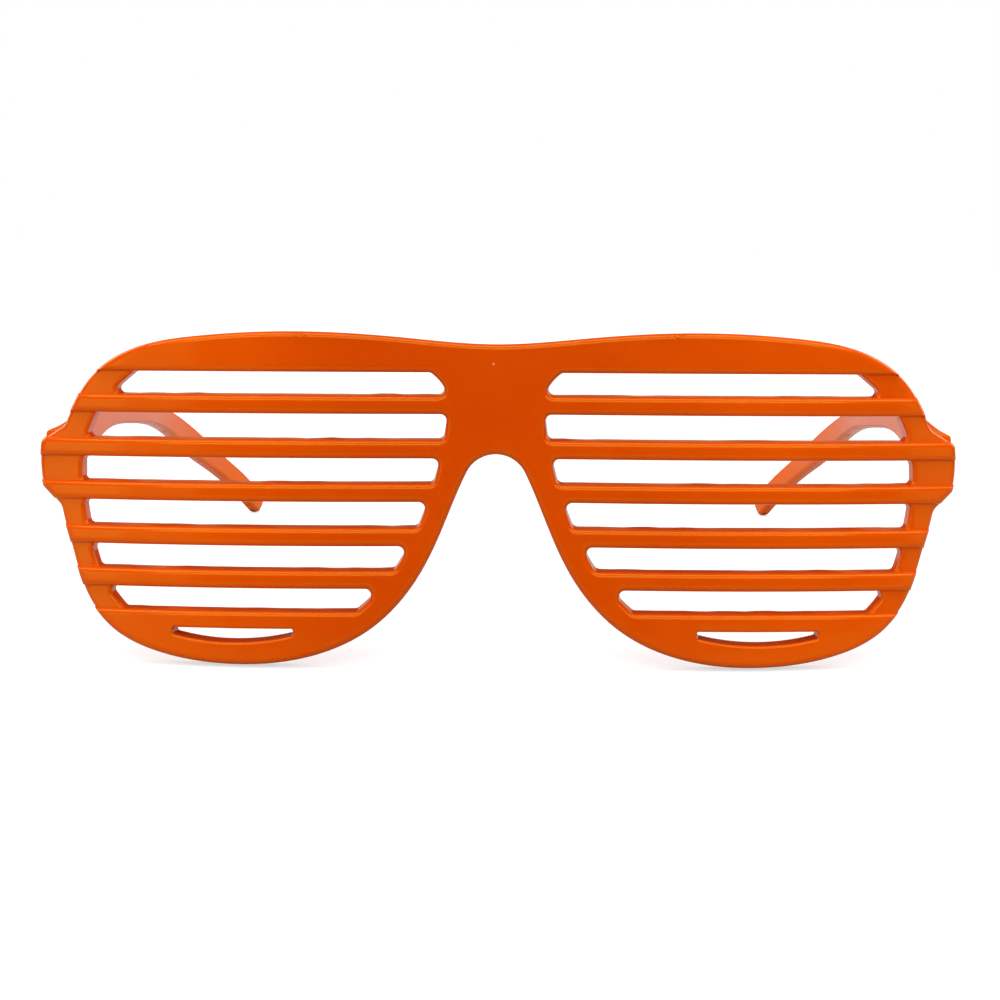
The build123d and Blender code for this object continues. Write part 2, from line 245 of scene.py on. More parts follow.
# %% Make a prism from a drawing
def only(obj):
    """Select one object alone and make it the active one."""
    bpy.ops.object.select_all(action="DESELECT")
    obj.select_set(True)
    bpy.context.view_layer.objects.active = obj


def turn_out(obj):
    """Turn all faces of a closed shape outwards."""
    only(obj)
    bpy.ops.object.mode_set(mode="EDIT")
    bpy.ops.mesh.select_all(action="SELECT")
    bpy.ops.mesh.normals_make_consistent(inside=False)
    bpy.ops.object.mode_set(mode="OBJECT")


def outward(points):
    """For each corner of a closed drawing, the direction that leads straight out of it."""
    following = np.roll(points, -1, axis=0)
    area = np.sum(points[:, 0] * following[:, 1] - points[:, 1] * following[:, 0])
    after = following - points
    after /= np.linalg.norm(after, axis=1)[:, None]
    tangents = after + np.roll(after, 1, axis=0)
    tangents /= np.linalg.norm(tangents, axis=1)[:, None]
    return np.column_stack([tangents[:, 1], -tangents[:, 0]]) * np.sign(area)


def stacked(name, rings):
    """A filled circle that is extruded once for each ring, with its corners put on the rings."""
    bpy.ops.mesh.primitive_circle_add(vertices=len(rings[0]), fill_type="NGON", location=(0, 0, 0))
    shape = bpy.context.object
    shape.name = name
    bpy.ops.object.mode_set(mode="EDIT")
    for _ in rings[1:]:
        bpy.ops.mesh.extrude_region_move()
    bpy.ops.object.mode_set(mode="OBJECT")
    shape.data.vertices.foreach_set("co", np.vstack(rings).ravel())
    turn_out(shape)
    return shape


def prism(name, rings):
    """A closed shape from flat rings of points, each given with its depth."""
    return stacked(name, [np.insert(points, 1, depth, axis=1) for points, depth in rings])


def softened(points, near, far, near_radius, far_radius, steps=4):
    """Rings of a slab between two depths, with its two rims rounded."""
    normals = outward(points)
    rings = []
    for angle in np.linspace(90, 0, steps + 1):
        across, up = heading(angle)
        rings.append((points - near_radius * (1 - across) * normals, near + near_radius * (1 - up)))
    for angle in np.linspace(0, 90, steps + 1):
        across, up = heading(angle)
        rings.append((points - far_radius * (1 - across) * normals, far - far_radius * (1 - up)))
    return rings


def combined(base, other, operation):
    """The first shape after a boolean with the second, which is used up."""
    only(base)
    modifier = base.modifiers.new("join", "BOOLEAN")
    modifier.operation = operation
    modifier.solver = "EXACT"
    modifier.object = other
    bpy.ops.object.modifier_apply(modifier=modifier.name)
    bpy.data.objects.remove(other)
    return base


def gathered(shapes):
    """Several shapes as one object."""
    only(shapes[0])
    for shape in shapes:
        shape.select_set(True)
    bpy.ops.object.join()
    return bpy.context.object


def mirrored(obj, name):
    """A copy of a shape on the other side of the glasses."""
    only(obj)
    bpy.ops.object.duplicate()
    twin = bpy.context.object
    twin.name = name
    twin.scale = (-1, 1, 1)
    bpy.ops.object.transform_apply(location=False, rotation=False, scale=True)
    turn_out(twin)
    return twin


# %% [markdown]
# ## Slats and slots
#
# The slats and the rim lie at two depths. On the moulding the slats are flush with the bridge and
# run over the rim to the outline, and between them the rim is one step lower. So two slabs are
# made: a high one that the slots cut into bands all the way to the outline, and a low one with
# only the open slots in it. Joined, they give the ridges of the real front.

# %% Place the rows of slots
brow_height = 6.6
slat_height = 3.28
slot_height = 3.9
slot_height_shares = (0.91, 1.02, 0.99, 1.02, 0.95, 0.89)
inner_corner_radius = 1.0
outer_corner_radius = 0.8
panel_inner_shares = (
    (0.20, 0.925),
    (0.1442, 0.8804),
    (0.1120, 0.8295),
    (0.1075, 0.7485),
    (0.1237, 0.6137),
    (0.1678, 0.4223),
    (0.2170, 0.2943),
    (0.2939, 0.1729),
    (0.36, 0.105),
)
panel_outer_shares = (
    (0.76, 0.105),
    (0.8128, 0.1780),
    (0.8399, 0.2256),
    (0.8878, 0.4222),
    (0.8993, 0.5900),
    (0.8740, 0.7350),
    (0.8235, 0.8278),
    (0.7790, 0.8804),
    (0.74, 0.93),
)
panel_inner = smooth_line(placed(panel_inner_shares))
panel_outer = smooth_line(placed(panel_outer_shares))


def slot_rows():
    """The lowest and highest line of each row of slots, from the brow down."""
    lines = []
    top = front_height - brow_height
    for share in slot_height_shares:
        low = top - share * slot_height
        lines.append((low, top))
        top = low - slat_height
    return lines


def slot_end(side, low, high, middle, radius):
    """One end of a slot: from the middle of one long edge round to the middle of the other."""
    heights = np.linspace(low, high, 9)
    end = np.column_stack([at_height(side, heights), heights])
    start = np.array([[middle, low], end[0]])
    finish = np.array([end[-1], [middle, high]])
    line = join_rounded(start, end, radius)
    return join_rounded(line, finish, radius)[1:-1]


rows = slot_rows()
print("slot rows, mm:", [(round(low, 2), round(high, 2)) for low, high in rows])

# %% [markdown]
# ## Cutters with draft and a soft mouth
#
# A moulding leaves its mould only if its walls lean a little: the slots are wider in front than
# behind, most at their outer ends. In front, each slot has a rounded edge that runs out into a
# faint crown, so a slat is never quite flat. The cutter's rings have the same shape, turned inside
# out. Its first ring lies behind the wall and its last one before it, so that no face of a cutter
# ever lies in a face of the slab.

# %% Make the cutters of one panel
slat_edge_radius = 0.8
slat_edge_width = 0.85
slat_crown = 0.04
slat_crown_reach = 1.3
slot_edge_radius = 0.7
slot_floor_draft = 0.3
slot_inner_draft = 0.2
slot_outer_draft = 0.4
mouth_angles = (0, 18, 36, 54, 72)
soft_end_distance = 6.0
overrun = 6.0
hair = 0.01


def drafted(points, normals, depth):
    """Corners of a cutter at a depth, moved out by the draft of the wall that they lie on."""
    across, up = normals.T
    draft = slot_floor_draft * np.clip(-up, 0, None)
    draft += slot_outer_draft * np.clip(across, 0, None)
    draft += slot_inner_draft * np.clip(-across, 0, None)
    return points + (draft * np.clip(1 - depth / front_thickness, 0, 1))[:, None] * normals


def mouth(near, radius, width, crown=0, crown_reach=0):
    """How far out and how deep each ring of a cutter's mouth lies, from its wall to the surface."""
    turns = [heading(angle) for angle in mouth_angles]
    places = [(width * (1 - across), radius * (1 - up)) for across, up in turns]
    if crown:
        places += [(width, 0), (width + 0.5 * (crown_reach - width), 0)]
        places = [(out, deep + crown * (1 - out / crown_reach) ** 2) for out, deep in places]
        widest = crown_reach
    else:
        out, deep = places[-1]
        widest = width + hair * (width - out) / deep
    rings = [(out, near + deep) for out, deep in places]
    return [*rings, (widest, near - hair), (widest, near - overrun)]


def cutter(name, points, normals, reach, rings):
    """A cutter from its drawing. Reach says how much of the mouth each corner has."""
    shaped = []
    for out, depth in ((0, front_thickness + overrun), (0, front_thickness), *rings):
        shaped.append((drafted(points, normals, depth) + out * normals * reach[:, None], depth))
    return prism(name, shaped)


def band_cutter(low, high):
    """The cutter for one band in the high slab: a slot that runs on past the outline."""
    inner = slot_end(panel_inner, low, high, panel_peak_x, inner_corner_radius)
    beyond = front_half_width + overrun
    points = np.vstack([inner, [beyond, high], [beyond, low]])
    normals = np.vstack([outward(points)[:-2], [0, 1], [0, -1]])
    rings = mouth(0, slat_edge_radius, slat_edge_width, slat_crown, slat_crown_reach)
    return cutter("band_cutter", points, normals, np.ones(len(points)), rings)


def slot_cutter(low, high):
    """The cutter for one open slot in the low slab, with a soft edge at its outer end."""
    low, high = low - hair, high + hair
    inner = slot_end(panel_inner - (hair, 0), low, high, panel_peak_x, inner_corner_radius)
    outer = slot_end(panel_outer, low, high, panel_peak_x, outer_corner_radius)[::-1]
    points = np.vstack([inner, outer])
    reach = (points[:, 0] > panel_peak_x + soft_end_distance).astype(float)
    rings = mouth(rim_step, slot_edge_radius, slot_edge_radius)
    return cutter("slot_cutter", points, outward(points), reach, rings)


# %% [markdown]
# ## The narrow curved slot
#
# Under the slats each panel has one more opening: a narrow slot, straight above and bowed below,
# like a smile. It goes through both slabs, so it has a cutter with a soft mouth for the high slab
# and a plain one, wider by a hair, for the low slab behind it.

# %% Make the cutter of the smile
smile_centre_share = 0.5645
smile_width = 19.4
smile_top_height = 5.95
smile_end_height = 0.8
smile_drop = 1.2
smile_corner_radius = 0.35
smile_edge_radius = 0.45


def smile_points():
    """The narrow slot under the slats, once round."""
    middle = smile_centre_share * front_half_width
    near, far = middle - smile_width / 2, middle + smile_width / 2
    low = smile_top_height - smile_end_height
    top = np.array([[middle, smile_top_height], [far, smile_top_height]])
    side = np.array([[far, smile_top_height], [far, low]])
    bow = arc_through((far, low), (middle, low - smile_drop), (near, low), 24)
    other = np.array([[near, low], [near, smile_top_height]])
    back = np.array([[near, smile_top_height], [middle, smile_top_height]])
    line = top
    for part in (side, bow, other, back):
        line = join_rounded(line, part, smile_corner_radius, 4)
    return line[:-1]


def smile_cutter(is_soft):
    """The cutter for the narrow slot, with a soft mouth or plain and a hair wider."""
    points = smile_points()
    if is_soft:
        rings = mouth(0, smile_edge_radius, smile_edge_radius)
    else:
        points = points + hair * outward(points)
        rings = [(0, rim_step - hair)]
    return cutter("smile_cutter", points, outward(points), np.ones(len(points)), rings)


# %% [markdown]
# ## Two slabs become one front
#
# The high slab has the rounded brow and loses the bands and the narrow slot. The low slab is a hair
# smaller all round, so that its sides never lie in those of the high one, and loses the open slots.
# Each panel's cutters are joined with their mirror images first, so one boolean does for a slab.

# %% Cut the two slabs and join them
brow_edge_radius = 1.0
rim_edge_radius = 0.75
back_edge_radius = 0.25


def with_twins(shapes):
    """Shapes of the left half together with their mirror images, as one object."""
    return gathered([*shapes, *[mirrored(shape, shape.name) for shape in shapes]])


def flat_front():
    """The front before it is bent: a high slab with its bands and a low slab with its slots."""
    rings = softened(outline, 0, front_thickness, brow_edge_radius, back_edge_radius)
    high = prism("front", rings)
    bands = with_twins([*[band_cutter(*row) for row in rows], smile_cutter(True)])
    high = combined(high, bands, "DIFFERENCE")
    within = outline - 2 * hair * outward(outline)
    far = front_thickness - hair
    low = prism("rim", softened(within, rim_step, far, rim_edge_radius, back_edge_radius))
    slots = with_twins([*[slot_cutter(*row) for row in rows], smile_cutter(False)])
    low = combined(low, slots, "DIFFERENCE")
    return combined(high, low, "UNION")


front = flat_front()
print("flat front:", len(front.data.polygons), "faces")

# %% [markdown]
# ## The hinge blocks
#
# Behind each end piece the moulding is thicker: a block carries the hinge, and the open temple
# stands against its back. A box is cut to the outline, so that nothing of it shows from ahead. Its
# back is set flat later, when the front is bent.

# %% Add a block behind each end piece
hinge_block_height = 10.4
hinge_block_width = 7.1
hinge_block_radius = 0.8


def box(name, low, high):
    """A box between two corners, started as a cube."""
    low, high = Vector(low), Vector(high)
    bpy.ops.mesh.primitive_cube_add(size=1, location=(low + high) / 2, scale=high - low)
    shape = bpy.context.object
    shape.name = name
    bpy.ops.object.transform_apply(location=True, rotation=False, scale=True)
    return shape


def edges_along_y(obj):
    """Select the edges of a shape that run from front to back, in edit mode."""
    bpy.ops.object.mode_set(mode="OBJECT")
    spots = obj.data.vertices
    for polygon in obj.data.polygons:
        polygon.select = False
    for edge in obj.data.edges:
        a, b = (spots[i].co for i in edge.vertices)
        edge.select = abs(a.y - b.y) > abs(a.x - b.x) + abs(a.z - b.z)
    bpy.ops.object.mode_set(mode="EDIT")
    bpy.ops.mesh.select_mode(type="EDGE")


def hinge_block():
    """The block behind the left end piece, cut to the outline."""
    inner_x = front_half_width - hinge_block_width
    half = hinge_block_height / 2
    low = (inner_x, front_thickness / 2, hinge_height - half)
    high = (front_half_width + overrun, 2 * front_thickness, hinge_height + half)
    shape = box("hinge_block", low, high)
    edges_along_y(shape)
    bpy.ops.mesh.bevel(offset=hinge_block_radius, segments=4)
    bpy.ops.object.mode_set(mode="OBJECT")
    within = outline - 3 * hair * outward(outline)
    inside = prism("inside", [(within, 0), (within, 3 * front_thickness)])
    return combined(shape, inside, "INTERSECT")


front = combined(front, with_twins([hinge_block()]), "UNION")
print("with blocks:", len(front.data.polygons), "faces")

# %% [markdown]
# ## Bend the front
#
# From above, the front is a wave: a hollow at the bridge and a bulge before each eye. A flat face
# can only bend where it has corners, so the flat front is first sliced every two millimetres across
# its width. Then each corner moves straight back by the depth of the curve at its place, as far as
# its own depth in the wall asks. Slots stay straight, as a mould leaves them, but the upper back
# edge of each slat is ragged in patches, where the two halves of the mould meet. A few waves, each
# with its own start in every row, do for that.

# %% Slice the front and move it onto its curve
slice_width = 2.0
first_slice = slice_width / 2 + hair
ragged_height = 0.07
ragged_depth = 0.5
ragged_waves = ((0.61, 5), (0.23, 2), (0.97, 3), (0.09, 4))
turn_angle = math.asin(panel_peak_x / (panel_radius + bridge_radius))


def sliced(obj, places, normal):
    """Cut a shape's faces where they cross planes square to a direction."""
    only(obj)
    bpy.ops.object.mode_set(mode="EDIT")
    for place in places:
        bpy.ops.mesh.select_all(action="SELECT")
        bpy.ops.mesh.bisect(plane_co=[place * part for part in normal], plane_no=normal)
    bpy.ops.object.mode_set(mode="OBJECT")


def surface_y(x, depth):
    """How far back the front lies at a distance from the middle, at a depth below its surface."""
    outer = panel_radius - depth
    centre_y = panel_radius - (panel_radius + bridge_radius) * math.cos(turn_angle)
    hollow = centre_y + np.sqrt((bridge_radius + depth) ** 2 - x**2)
    bulge = panel_radius - np.sqrt(outer**2 - (x - panel_peak_x) ** 2)
    return np.where(x > panel_peak_x - outer * math.sin(turn_angle), bulge, hollow)


def ragged(spots):
    """How far the corners on the back edges of the slats are raised or lowered."""
    x, depth, height = spots.T
    rise = np.zeros(len(spots))
    for number, (low, _) in enumerate(rows):
        is_edge = (np.abs(height - low) < ragged_height) & (depth > front_thickness - ragged_depth)
        fast, slow, fine, patch = (np.sin(pace * x + lead * number) for pace, lead in ragged_waves)
        rise += is_edge * ragged_height * (fast * slow + 0.5 * fine) * patch**2
    return rise


def bend(obj):
    """Move a flat front onto its curve, with the backs of its hinge blocks flat."""
    count = len(obj.data.vertices)
    spots = np.empty(3 * count)
    obj.data.vertices.foreach_get("co", spots)
    spots = spots.reshape(-1, 3)
    spots[:, 2] += ragged(spots)
    is_block = spots[:, 1] > front_thickness + rim_step
    depth = np.minimum(spots[:, 1], front_thickness)
    spots[:, 1] = np.where(is_block, seat_y, surface_y(np.abs(spots[:, 0]), depth))
    obj.data.vertices.foreach_set("co", spots.ravel())


def welded(obj):
    """Merge the corners of a shape that lie within a hair of each other."""
    only(obj)
    bpy.ops.object.mode_set(mode="EDIT")
    bpy.ops.mesh.select_all(action="SELECT")
    bpy.ops.mesh.remove_doubles(threshold=hair)
    bpy.ops.object.mode_set(mode="OBJECT")


sliced(front, np.arange(-front_half_width + first_slice, front_half_width, slice_width), (1, 0, 0))
bend(front)
welded(front)
print("bent front:", len(front.data.polygons), "faces")

# %% [markdown]
# ## Seats for the hinge leaves
#
# The metal leaves are sunk into the plastic while it is hot, so each plastic piece has a seat of
# the leaf's own shape, wider at its deep end so that the leaf can't be pulled out. A box with one
# end a little lower than the other is enough as its cutter.

# %% Cut the seat of the front leaf
leaf_thickness = 0.9
anchor_taper = 0.5
anchor_fit = 0.02
front_anchor_depth = 2.6
front_anchor_height = 5.6


def tapered_box(name, low, high, axis, is_far, taper):
    """A box whose near or far end along an axis is lower by a taper, above and below."""
    shape = box(name, low, high)
    middle = (Vector(low) + Vector(high)) / 2
    for spot in shape.data.vertices:
        if (spot.co[axis] > middle[axis]) == is_far:
            spot.co.z -= math.copysign(taper, spot.co.z - middle.z)
    return shape


def front_seat():
    """The cutter for the seat of the left front leaf, higher at its deep end."""
    half = leaf_thickness / 2 + anchor_fit
    rise = front_anchor_height / 2 + anchor_fit
    depth = front_anchor_depth + anchor_fit
    low = (hinge_x - half, seat_y - depth, hinge_height - rise)
    high = (hinge_x + half, seat_y + depth, hinge_height + rise)
    taper = anchor_taper / front_anchor_depth * 2 * depth
    return tapered_box("front_seat", low, high, 1, True, taper)


front = combined(front, with_twins([front_seat()]), "DIFFERENCE")

# %% [markdown]
# ## The temples
#
# A temple is a slim bar that arches over the ear, bows in behind it and ends round. Its top and
# its underside are two lines seen from the side, and its inner face is a straight run and an arc
# seen from above. Each station along it gets a section: four corners where the station's plane
# meets those faces, rounded like the edges of the moulding. The sections are stacked and end in a
# round cap.

# %% Work out the temple's sections
temple_gap = 0.1
temple_thicknesses = (3.6, 2.9, 2.6, 2.3)
temple_splay = math.radians(3.2)
temple_straight_length = 72.6
temple_bend_radius = 118.0
temple_bend_angle = math.radians(28.0)
temple_length = 124.8
temple_rise = 8.8
temple_top_shares = (
    (0.0, 0.568),
    (0.064, 0.648),
    (0.20, 0.92),
    (0.385, 1.0),
    (0.545, 0.909),
    (0.689, 0.636),
    (0.8117, 0.0455),
    (0.894, -0.534),
    (0.966, -1.136),
    (1.009, -1.715),
)
temple_low_shares = (
    (0.0, -0.591),
    (0.117, -0.057),
    (0.237, 0.42),
    (0.4295, 0.511),
    (0.678, 0.136),
    (0.79, -0.466),
    (0.89, -1.057),
    (0.981, -1.965),
)
temple_last_share = 0.98
temple_edge_radius = 0.8
temple_stations = 64
temple_cap_angles = (15, 30, 45, 58, 70, 80, 87)
temple_anchor_length = 8.0
temple_anchor_height = 4.2
temple_top = smooth_line(np.array(temple_top_shares) * (temple_length, temple_rise))
temple_low = smooth_line(np.array(temple_low_shares) * (temple_length, temple_rise))


def along(line, share):
    """The point at a share of a line's length."""
    run = np.concatenate([[0], np.cumsum(np.linalg.norm(np.diff(line, axis=0), axis=1))])
    return np.array([np.interp(share * run[-1], run, line[:, axis]) for axis in (0, 1)])


def crossing(line, spot, direction):
    """How far a line is crossed from a spot along a direction."""
    near = line[np.linalg.norm(line - spot, axis=1) < 2 * temple_rise] - spot
    aside = near @ (direction[1], -direction[0])
    return np.interp(0, aside, near @ direction)


def inner_face(y):
    """The inner face at a distance behind the hinge: its place, its turn, and the thickness."""
    straight = temple_straight_length * math.cos(temple_splay)
    turn = math.asin(math.sin(temple_splay) + max(0, y - straight) / temple_bend_radius)
    x = hinge_x + hinge_reach - min(y, straight) * math.tan(temple_splay)
    x -= temple_bend_radius * (math.cos(temple_splay) - math.cos(turn))
    arc = temple_bend_radius * temple_bend_angle
    runs = [0, *[temple_straight_length + share * arc for share in (0, 0.5, 1)]]
    run = min(y, straight) / math.cos(temple_splay) + temple_bend_radius * (turn - temple_splay)
    place = np.array([x, seat_y + temple_gap + y, hinge_height])
    return place, turn, np.interp(run, runs, temple_thicknesses)


def rounded_section(corners, radius):
    """A section's outline from its four corners, with each of them rounded."""
    middle = (corners[0] + corners[3]) / 2
    line = np.array([middle, corners[0]])
    for i in range(4):
        end = middle if i == 3 else corners[i + 1]
        line = join_rounded(line, np.array([corners[i], end]), radius, 5)
    return line[:-1]


def temple_section(share, shrink=0.0):
    """One section of the left temple, and the direction in which the temple runs there."""
    spot = (along(temple_top, share) + along(temple_low, share)) / 2
    ahead = (along(temple_top, share + 0.01) + along(temple_low, share + 0.01)) / 2
    slope = math.atan2(*(ahead - spot)[::-1]) if share else 0
    face, turn, thickness = inner_face(spot[0])
    out = np.array([math.cos(turn), math.sin(turn), 0])
    level = np.array([-math.sin(turn), math.cos(turn), 0])
    up = np.array([0, 0, math.cos(slope)]) - level * math.sin(slope)
    seen_up = np.array([-math.cos(turn) * math.sin(slope), math.cos(slope)])
    corners = []
    for width, lines in ((0, (temple_low, temple_top)), (thickness, (temple_top, temple_low))):
        aside = spot + np.array([width * math.sin(turn), 0])
        corners += [(width, crossing(line, aside, seen_up)) for line in lines]
    flat = rounded_section(np.array(corners), temple_edge_radius)
    flat -= shrink * outward(flat)
    centre = face + (0, 0, spot[1])
    ring = centre + flat[:, :1] * out + flat[:, 1:] * up
    return ring, level * math.cos(slope) + np.array([0, 0, math.sin(slope)])


# %% [markdown]
# ## Stack the sections
#
# The same stacking that made the slabs now makes a bar, with the sections as rings. It starts with
# a small soft edge and ends in rings that shrink along a quarter circle. The right temple is the
# left one's mirror image, made after the seat is cut.

# %% Stack the sections of the left temple
def left_temple_bar():
    """The left temple as one closed shape."""
    soft = back_edge_radius
    first, back = temple_section(0, soft)
    rings = [first, temple_section(0, soft / 4)[0] + back * soft / 3]
    rings.append(temple_section(0)[0] + back * soft)
    for share in np.linspace(0, temple_last_share, temple_stations)[1:]:
        ring, back = temple_section(share)
        rings.append(ring)
    centre = ring.mean(axis=0)
    reach = np.linalg.norm(along(temple_top, 1) - along(temple_low, 1)) / 2
    for angle in temple_cap_angles:
        narrowing, onward = heading(angle)
        rings.append(centre + (ring - centre) * narrowing + back * reach * onward)
    return stacked("temple", rings)


def temple_seat():
    """The cutter for the seat of the left temple leaf, flush in the inner face."""
    rise = temple_anchor_height / 2 + anchor_fit
    low = (hinge_reach - anchor_fit, -leaf_thickness - anchor_fit, -rise)
    high = (hinge_reach + temple_anchor_length + anchor_fit, hinge_reach, rise)
    shape = tapered_box("temple_seat", low, high, 0, False, anchor_taper)
    face = Matrix.Translation((hinge_x + hinge_reach, seat_y + temple_gap, hinge_height))
    shape.data.transform(face @ Matrix.Rotation(math.radians(90) + temple_splay, 4, "Z"))
    return shape


left_temple = combined(left_temple_bar(), temple_seat(), "DIFFERENCE")
right_temple = mirrored(left_temple, "right_temple_arm_plastic")
left_temple.name = "left_temple_arm_plastic"
front.name = "front_plastic_moulding"
print("temple:", len(left_temple.data.polygons), "faces")

# %% [markdown]
# ## Stand the pieces up and smooth them
#
# The matrix from the start now stands every plastic piece where the frame has it. Faces that meet
# at a shallow angle are shaded as one surface, and normals weighted by face size keep the broad
# faces flat up to their soft edges, which is how a polished mould looks.

# %% Stand, smooth and hand over each plastic piece
smooth_angle = math.radians(40)


def finished(obj, body, nodes):
    """Stand a piece up, smooth it, and let it stand for its solids."""
    obj.data.transform(stand)
    only(obj)
    bpy.ops.object.shade_smooth_by_angle(angle=smooth_angle)
    modifier = obj.modifiers.new("normals", "WEIGHTED_NORMAL")
    modifier.keep_sharp = True
    bpy.ops.object.modifier_apply(modifier=modifier.name)
    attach(obj, body)
    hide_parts(*nodes)
    obj.data.calc_loop_triangles()
    print(obj.name, len(obj.data.loop_triangles), "triangles")


finished(front, "front", ["front_frame"])
finished(left_temple, "left_temple_arm", ["left_temple"])
finished(right_temple, "right_temple_arm", ["right_temple"])

# %% [markdown]
# ## A small language for finishes
#
# A finish is a graph of nodes, and so is the light of the studio. Sums read better as sums, so a
# wire from a node can be added and multiplied like a number, and each such step adds its Math
# node. Every other node comes from one method that takes its kind, its settings and what goes into
# its sockets.

# %% Wires and finishes
class Wire:
    """The output of a node, which can be used in sums."""

    def __init__(self, graph, socket):
        self.graph = graph
        self.socket = socket

    def maths(self, operation, first, second):
        return self.graph.add("ShaderNodeMath", {"operation": operation}, {0: first, 1: second})

    def __add__(self, other):
        return self.maths("ADD", self, other)

    def __mul__(self, other):
        return self.maths("MULTIPLY", self, other)

    def __sub__(self, other):
        return self.maths("SUBTRACT", self, other)

    def __rsub__(self, other):
        return self.maths("SUBTRACT", other, self)

    def __lt__(self, other):
        return self.maths("LESS_THAN", self, other)

    def __gt__(self, other):
        return self.maths("GREATER_THAN", self, other)

    __radd__ = __add__
    __rmul__ = __mul__


class Graph:
    """A tree of nodes to which nodes are added one by one."""

    def __init__(self, tree):
        self.tree = tree

    def join(self, value, socket):
        """Put a number, a colour or a wire into a socket."""
        if isinstance(value, Wire):
            self.tree.links.new(value.socket, socket)
        else:
            socket.default_value = value

    def add(self, kind, settings=None, inputs=None, output=0):
        """Add a node, with its settings first and then its sockets."""
        node = self.tree.nodes.new(kind)
        for name, value in (settings or {}).items():
            setattr(node, name, value)
        for name, value in (inputs or {}).items():
            self.join(value, node.inputs[name])
        return Wire(self, node.outputs[output])

    def ramp(self, value, low, high):
        """A value brought to run from 0 to 1 between two others, and no further."""
        sockets = {0: value, 1: low, 2: high}
        return self.add("ShaderNodeMapRange", {"interpolation_type": "SMOOTHSTEP"}, sockets)

    def blend(self, share, first, second):
        """A mix of two colours."""
        sockets = {0: share, 6: first, 7: second}
        return self.add("ShaderNodeMix", {"data_type": "RGBA"}, sockets, output=2)

    def part(self, vector, axis):
        """One of the three parts of a vector."""
        return self.add("ShaderNodeSeparateXYZ", None, {0: vector}, output=axis)

    def rays(self, *kinds):
        """For each kind of ray, 1 where the surface is met by such a ray, or else 0."""
        return [self.add("ShaderNodeLightPath", output=f"Is {kind} Ray") for kind in kinds]


class Finish(Graph):
    """A material, whose patterns are read in the space of the object."""

    def __init__(self, name):
        self.material = bpy.data.materials.new(name)
        self.material.use_nodes = True
        super().__init__(self.material.node_tree)
        self.shader = self.tree.nodes["Principled BSDF"]
        self.place = self.add("ShaderNodeTexCoord", output="Object")

    def noise(self, size, detail=2.0, stretch=(1, 1, 1), rough=0.5):
        """Soft random values between 0 and 1, with spots of about a size in metres."""
        place = self.add("ShaderNodeMapping", None, {"Vector": self.place, "Scale": stretch})
        sockets = {"Vector": place, "Scale": 1 / size, "Detail": detail, "Roughness": rough}
        return self.add("ShaderNodeTexNoise", None, sockets)

    def bump(self, height, distance, under=None):
        """A surface raised by a height, given how many metres a height of 1 stands for."""
        sockets = {"Height": height, "Distance": distance, "Strength": 1.0}
        if under:
            sockets["Normal"] = under
        return self.add("ShaderNodeBump", None, sockets)

    def give(self, **sockets):
        """Set the shader's own sockets, by names with underscores for spaces."""
        for name, value in sockets.items():
            self.join(value, self.shader.inputs[name.replace("_", " ")])
        return self.material


def paint(red, green, blue):
    """A colour as a screen shows it, from 0 to 255, in the linear numbers that a shader takes."""
    parts = [part / 255 for part in (red, green, blue)]
    linear = [part / 12.92 if part < 0.04045 else ((part + 0.055) / 1.055) ** 2.4 for part in parts]
    return (*linear, 1)


def dress(obj, material):
    """Give a piece its finish in place of what it has."""
    obj.data.materials.clear()
    obj.data.materials.append(material)


# %% [markdown]
# ## Glossy orange plastic
#
# The moulding is polystyrene in a strong orange, shiny from a polished mould. Its colour shifts a
# little where the melt flowed and cooled. Over that, light and shade are painted into the colour:
# it is deeper in the broad bridge and lighter towards the ends, where more light falls. The gloss
# has a slow waviness, a faint haze of handling, fine scratches, and here and there a speck of dust.
# All of that is read in the object's own space, so it stays put when the temples fold, and all but
# the painted light is noise at several sizes. The shine is tinted, so that the highlights are
# yellowish and not white. The top edge has two short torn places, where the moulding was snapped
# off its feeders.
#
# Each noise is named after what it does. Its first number is the size of its spots in metres.

# %% Make the plastic finishes
gate_places = (-0.032, 0.0295)
gate_width = 0.0026
gate_height = 0.0537
gate_depth = 0.0004
# Painted light and shade: the colour is deep up to the first distance from the middle and light
# from the second, in metres.
painted_shade_until = 0.012
painted_light_from = 0.05
flow_share = 0.35
wave_depth = 0.00006
grain_depth = 0.000004
specks_per_metre = 170.0
speck_radius_share = 0.035
speck_colour = paint(250, 200, 170)
shine_colour = paint(232, 255, 100)
polystyrene_ior = 1.5


def gate_marks(finish):
    """Where the torn places are: near a gate's place and high up."""
    across = finish.part(finish.place, "X")
    marks = 0
    for place in gate_places:
        marks = marks + ((across - place) * (across - place) < (gate_width / 2) ** 2)
    return marks * (finish.part(finish.place, "Z") > gate_height)


def specks(finish):
    """Where a speck of dust lies: at the middle of a few cells."""
    cells = {"Vector": finish.place, "Scale": specks_per_metre}
    from_middle = finish.add("ShaderNodeTexVoronoi", None, cells, output="Distance")
    return (from_middle < speck_radius_share) * (finish.noise(0.011, 0.0) > 0.56)


